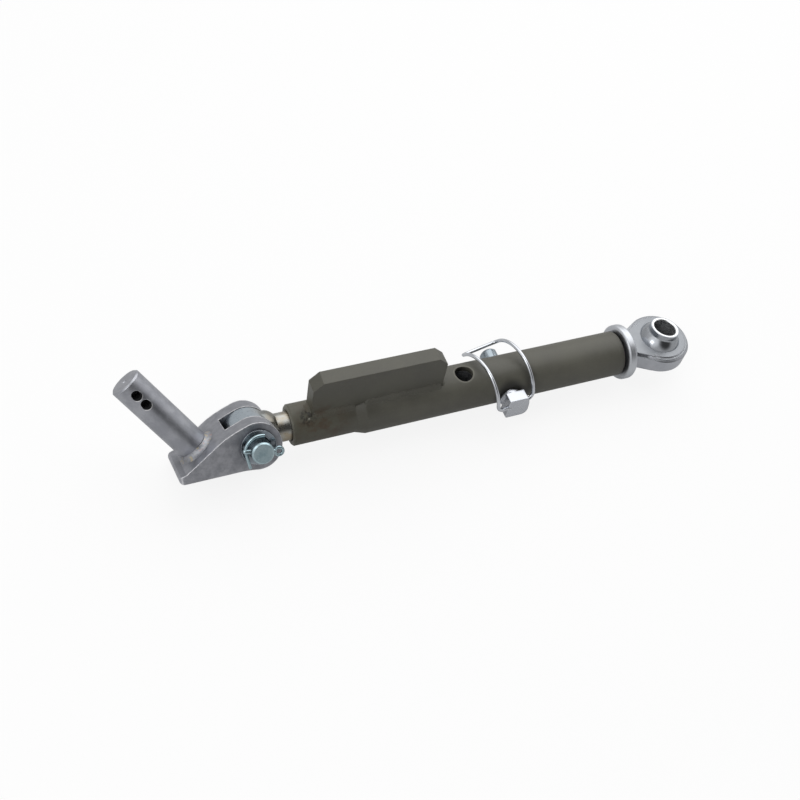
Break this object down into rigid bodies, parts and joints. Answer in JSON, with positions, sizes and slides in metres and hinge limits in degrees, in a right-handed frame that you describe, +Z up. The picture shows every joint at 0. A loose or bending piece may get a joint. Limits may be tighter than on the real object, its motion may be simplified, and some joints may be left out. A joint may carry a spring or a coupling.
{
  "type": "lower link stabilizer",
  "caption": "Telescopic lower link stabilizer: tube with locking pin and wire keeper, ball eye at one end, screwed fork with an oblique hitch pin at the other.",
  "frame": {"origin": "centre of the ball, on the axis of its bore", "axes": "X along the tube with +X towards the ball eye, +Z up through the tube's free cross hole and the stop plate, Y along the locking pin with its head at -Y"},
  "size_m": [0.6335, 0.1106, 0.1155],
  "materials": {
    "olive_paint": "satin",
    "forged_zinc": "matt zinc",
    "bright_zinc": "bright zinc",
    "yellow_zinc": "yellowed zinc",
    "blue_zinc": "bluish zinc",
    "ball_steel": "turned and polished",
    "weld_metal": "as welded, plated",
    "rod_steel": "drawn bar"
  },
  "bodies": {
    "tube": {"outer_tube": "olive_paint", "stop_plate": "olive_paint", "front_swage_weld": "olive_paint", "front_tube_weld": "olive_paint", "rear_swage_weld": "olive_paint", "rear_tube_weld": "olive_paint", "left_end_weld": "olive_paint", "right_end_weld": "olive_paint", "locking_pin": "bright_zinc"},
    "screw": {"adjusting_screw": "yellow_zinc"},
    "fork": {"fork": "forged_zinc", "hitch_pin": "forged_zinc", "pin_foot_weld": "weld_metal", "pivot_pin": "blue_zinc", "pivot_washer": "bright_zinc", "split_pin": "blue_zinc"},
    "rod": {"sliding_rod": "rod_steel", "ball_eye": "bright_zinc"},
    "ball": {"ball": "ball_steel"},
    "keeper": {"wire_keeper": "bright_zinc"}
  },
  "joints": [
    {"name": "screw_adjust", "type": "slide", "parent": "tube", "child": "screw", "axis": [1, 0, 0], "range_m": [-0.04, 0.007]},
    {"name": "fork_pivot", "type": "hinge", "parent": "screw", "child": "fork", "pos_m": [-0.478, 0, 0], "axis": [0, 0.8192, -0.5736], "range_deg": [-90, 90]},
    {"name": "rod_slide", "type": "slide", "parent": "tube", "child": "rod", "axis": [1, 0, 0], "range_m": [-0.001, 0.025]},
    {"name": "ball_swivel", "type": "hinge", "parent": "rod", "child": "ball", "pos_m": [0, 0, 0], "axis": [-0.5446, 0.8387, 0], "range_deg": [-22, 6]},
    {"name": "wire_swing", "type": "hinge", "parent": "tube", "child": "keeper", "pos_m": [-0.1975, -0.0365, 0], "axis": [0.9816, 0.1908, 0], "range_deg": [0, 120]}
  ]
}
